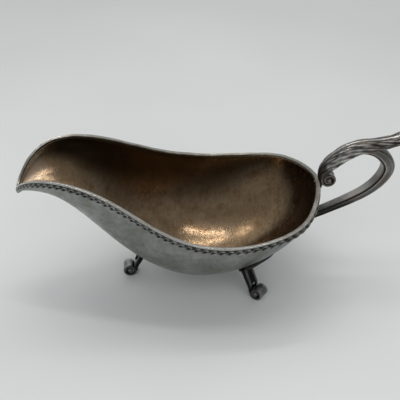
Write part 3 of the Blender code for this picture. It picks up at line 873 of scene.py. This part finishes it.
def make_plate(name, wall, centre, outward, half_size, material, lobes, depth, edge_lift, crown):
    """A cast plate on the wall, lobed and fluted out from its middle, with a raised edge darkened by
    painted shade.

    depth is how far in the cuts between the lobes go, as a share of the half size. With no lobes
    the plate is a plain oval. edge_lift is its edge's height off the wall, and crown is how much
    higher its middle is.
    """
    outward = outward.normalized()
    across = Vector((0, 0, 1)).cross(outward).normalized()
    upward = outward.cross(across)
    top, under, relief = [], [], []
    for k in range(PLATE_RINGS + 1):
        out = max(k / PLATE_RINGS, 0.01)
        for angle in ring_angles(PLATE_RAYS).tolist():
            ridge = abs(math.sin(lobes * angle / 2)) if lobes else 1.0
            flute = FLUTE_HEIGHT * (ridge - 0.6) * math.sin(math.pi * out) if lobes else 0.0
            share = out * (1 - depth * (1 - ridge))
            aim = centre + across * half_size[0] * math.sin(angle) * share
            aim += upward * half_size[1] * math.cos(angle) * share
            spot, normal = lay_on_wall(wall, aim, outward)
            raised = flute + EDGE_BEAD_HEIGHT * float(bump(out - 0.9, 0.07))
            top.append(spot + normal * (edge_lift + crown * (1 - out**2) + raised * MM))
            under.append(spot - normal * PLATE_SINK)
            # Painted shade darkens the plate towards its edge, most on the edge itself.
            relief.append(min(max(3.0 * flute - 0.25 * out - 0.5 * (out > 0.97), -1), 1))
    last, count = PLATE_RINGS * PLATE_RAYS, len(top)
    faces = grid_faces(PLATE_RINGS + 1, PLATE_RAYS, ring=True)
    faces.append(tuple(range(PLATE_RAYS)))
    for i in range(PLATE_RAYS):
        after = (i + 1) % PLATE_RAYS
        faces.append((last + i, count + i, count + after, last + after))
    faces.append(tuple(range(count, count + PLATE_RAYS)))
    points = [tuple(p) for p in top + under[last:]]
    # The edge's lower ring is painted darkest, as shade.
    return mesh_object(name, points, faces, material, relief + [-1.0] * PLATE_RAYS)


# ---------------------------------------------------------------- stage

FLOOR_COLOURS = ((0.67, 0.684, 0.684), (0.71, 0.721, 0.72))
WARM = (1.0, 0.97, 0.93)
WHITE = (1.0, 1.0, 1.0)
# Each lamp's name, place, aim and size, in metres, and its power in watts.
MIRRORED_LAMPS = (
    ("near_lamp", (-0.02, 0.01, 0.56), (0.0, 0.06, 0.0), (0.36, 0.02), 0.34),
    ("far_lamp", (-0.02, 0.18, 0.56), (0.0, 0.06, 0.0), (0.36, 0.02), 0.34),
    ("spout_lamp", (-0.31, 0.15, 0.5), (0.0, 0.0, 0.05), (0.07, 0.08), 0.12),
)
SOFT_LAMPS = (
    ("fill", (0.0, -0.6, 0.5), (0.0, 0.0, 0.0), (1.2, 0.7), 2.8),
    ("top", (0.0, 0.3, 0.9), (0.0, 0.0, 0.0), (1.2, 0.7), 2.0),
)
ROOM_COLOUR = (0.98, 1.0, 1.01)
CAMERA_AZIMUTH = math.radians(-4)
CAMERA_ELEVATION = math.radians(36)
CAMERA_DISTANCE = 462.9 * MM
CAMERA_AIM_X = -9.4 * MM
CAMERA_AIM_HEIGHT = 52.1 * MM


def make_floor():
    """A plain pale table, large enough to fill the view and to be mirrored in the silver."""
    points = np.array([[(x, y, 0.0) for x in np.linspace(-3, 3, 9)] for y in np.linspace(-2, 4, 9)])
    material = bpy.data.materials.new("pale_paper")
    material.use_nodes = True
    tree = material.node_tree
    shader = tree.nodes["Principled BSDF"]
    place = add_node(tree, "ShaderNodeTexCoord").outputs["Object"]
    soft = remap(tree, noise(tree, place, scale=5, detail=2), 0.35, 0.65)
    tree.links.new(mix(tree, soft, *FLOOR_COLOURS), shader.inputs["Base Color"])
    shader.inputs["Roughness"].default_value = 0.85
    floor = mesh_object("floor", points, grid_faces(*points.shape[:2]), material, closed=False)


def area_light(name, location, target, size, power, colour):
    light = bpy.data.lights.new(name, "AREA")
    light.shape = "RECTANGLE"
    light.size, light.size_y = size
    light.energy = power
    light.color = colour
    obj = bpy.data.objects.new(name, light)
    obj.location = location
    obj.rotation_euler = (Vector(target) - Vector(location)).to_track_quat("-Z", "Y").to_euler()
    bpy.context.scene.collection.objects.link(obj)
    return obj


def make_light():
    """Warm lamps that the silver mirrors, and soft white ones that it doesn't."""
    for lamp in MIRRORED_LAMPS:
        area_light(*lamp, WARM)
    for lamp in SOFT_LAMPS:
        area_light(*lamp, WHITE).visible_glossy = False


def make_room():
    """The room's own light: darkest behind the camera, lighter at the back, dimmer down low."""
    world = bpy.data.worlds.new("room")
    world.use_nodes = True
    tree = world.node_tree
    background = tree.nodes["Background"]
    direction = add_node(tree, "ShaderNodeTexCoord").outputs["Generated"]
    split = add_node(tree, "ShaderNodeSeparateXYZ", {0: direction})
    front = remap(tree, split.outputs["Y"], -1.0, -0.5, 0.1, 0.34)
    back = remap(tree, split.outputs["Y"], 0.1, 0.8, 0.0, 0.6)
    high = remap(tree, split.outputs["Z"], 0.1, 0.5, 0.35, 1.0)
    share = multiply(tree, add_values(tree, front, back), high)
    tree.links.new(mix(tree, share, (0.0, 0.0, 0.0), ROOM_COLOUR), background.inputs["Color"])
    background.inputs["Strength"].default_value = 1.0
    bpy.context.scene.world = world


def make_camera():
    """The photo's view: from above the near side, and a little from the spout's end."""
    low, high = CAD_BOX
    target = Vector((CAMERA_AIM_X, (low.y + high.y) / 2, CAMERA_AIM_HEIGHT))
    level = math.cos(CAMERA_ELEVATION)
    x, y = level * math.sin(CAMERA_AZIMUTH), -level * math.cos(CAMERA_AZIMUTH)
    away = Vector((x, y, math.sin(CAMERA_ELEVATION)))
    data = bpy.data.cameras.new("camera")
    data.lens = 72
    data.sensor_width = 36
    camera = bpy.data.objects.new("camera", data)
    camera.location = target + away * CAMERA_DISTANCE
    camera.rotation_euler = (-away).to_track_quat("-Z", "Y").to_euler()
    bpy.context.scene.collection.objects.link(camera)
    bpy.context.scene.camera = camera


# ---------------------------------------------------------------- assembly


def attach(piece, node):
    """Puts a piece on the boat's one rigid body, in the place of its CAD node."""
    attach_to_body(piece, "root")
    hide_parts(node)


def box_middle(node):
    low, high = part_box(node)
    return (low + high) / 2


def make_leg_pieces(name, side, wall):
    """side is 0 for the front leg, and 1 or -1 for the rear legs on +Y and -Y."""
    leg_angle = side * REAR_LEG_ANGLE if side else math.pi
    knee_angle = side * REAR_KNEE_ANGLE if side else math.pi
    out = Vector((math.cos(leg_angle), math.sin(leg_angle), 0))
    middle = box_middle(f"foot_scroll_{name}")
    # The scroll's box reaches further inwards than outwards from its foot.
    foot = Vector((middle.x, middle.y, 0)) + out * SCROLL_PITCH / 4

    scroll_place = leg_matrix(foot, leg_angle, SCROLL_CENTRE_HEIGHT)
    scroll = make_scroll(
        f"foot_roll_{name}", scroll_place, SILVER_LEG, **FOOT_SCROLL, floor=-SCROLL_CENTRE_HEIGHT,
    )
    attach(scroll, f"foot_scroll_{name}")

    shank = make_shank(f"leg_strap_{name}", leg_matrix(foot, leg_angle, 0), wall)
    attach(shank, f"leg_shank_{name}")

    knee = foot - out * KNEE_INBOARD + Vector((abs(side) * REAR_KNEE_BACK, 0, KNEE_HEIGHT))
    facing = Vector((math.cos(knee_angle), math.sin(knee_angle), -1))
    half_size = REAR_KNEE_HALF_SIZE if side else FRONT_KNEE_HALF_SIZE
    plate = make_plate(f"knee_leaf_{name}", wall, knee, facing, half_size, SILVER_LEG, **KNEE)
    attach(plate, f"knee_plate_{name}")


wall = wall_tree()
attach(make_bowl(), "bowl")
attach(make_rim_strip(), "rim_wire")
attach(make_rope(), "rope_border")
attach(make_handle_loop(wall), "handle_strap")
attach(make_handle_leaf(), "handle_leaf")
volute_place = Matrix.Translation((REAR_X + VOLUTE_BEHIND_RIM, 0, VOLUTE_HEIGHT))
volute = make_scroll("handle_scroll", volute_place, SILVER_CAST, **VOLUTE)
attach(volute, "handle_volute")
pad_place, pad_facing = Vector((REAR_X, 0, PAD_HEIGHT)), Vector((1, 0, -0.4))
pad = make_plate("handle_pad", wall, pad_place, pad_facing, PAD_HALF_SIZE, SILVER_CAST, **PAD)
attach(pad, "handle_lower_pad")
for leg, side in (("front", 0), ("left", 1), ("right", -1)):
    make_leg_pieces(leg, side, wall)

make_floor()
make_light()
make_room()
make_camera()
bpy.context.scene.view_settings.view_transform = "Standard"
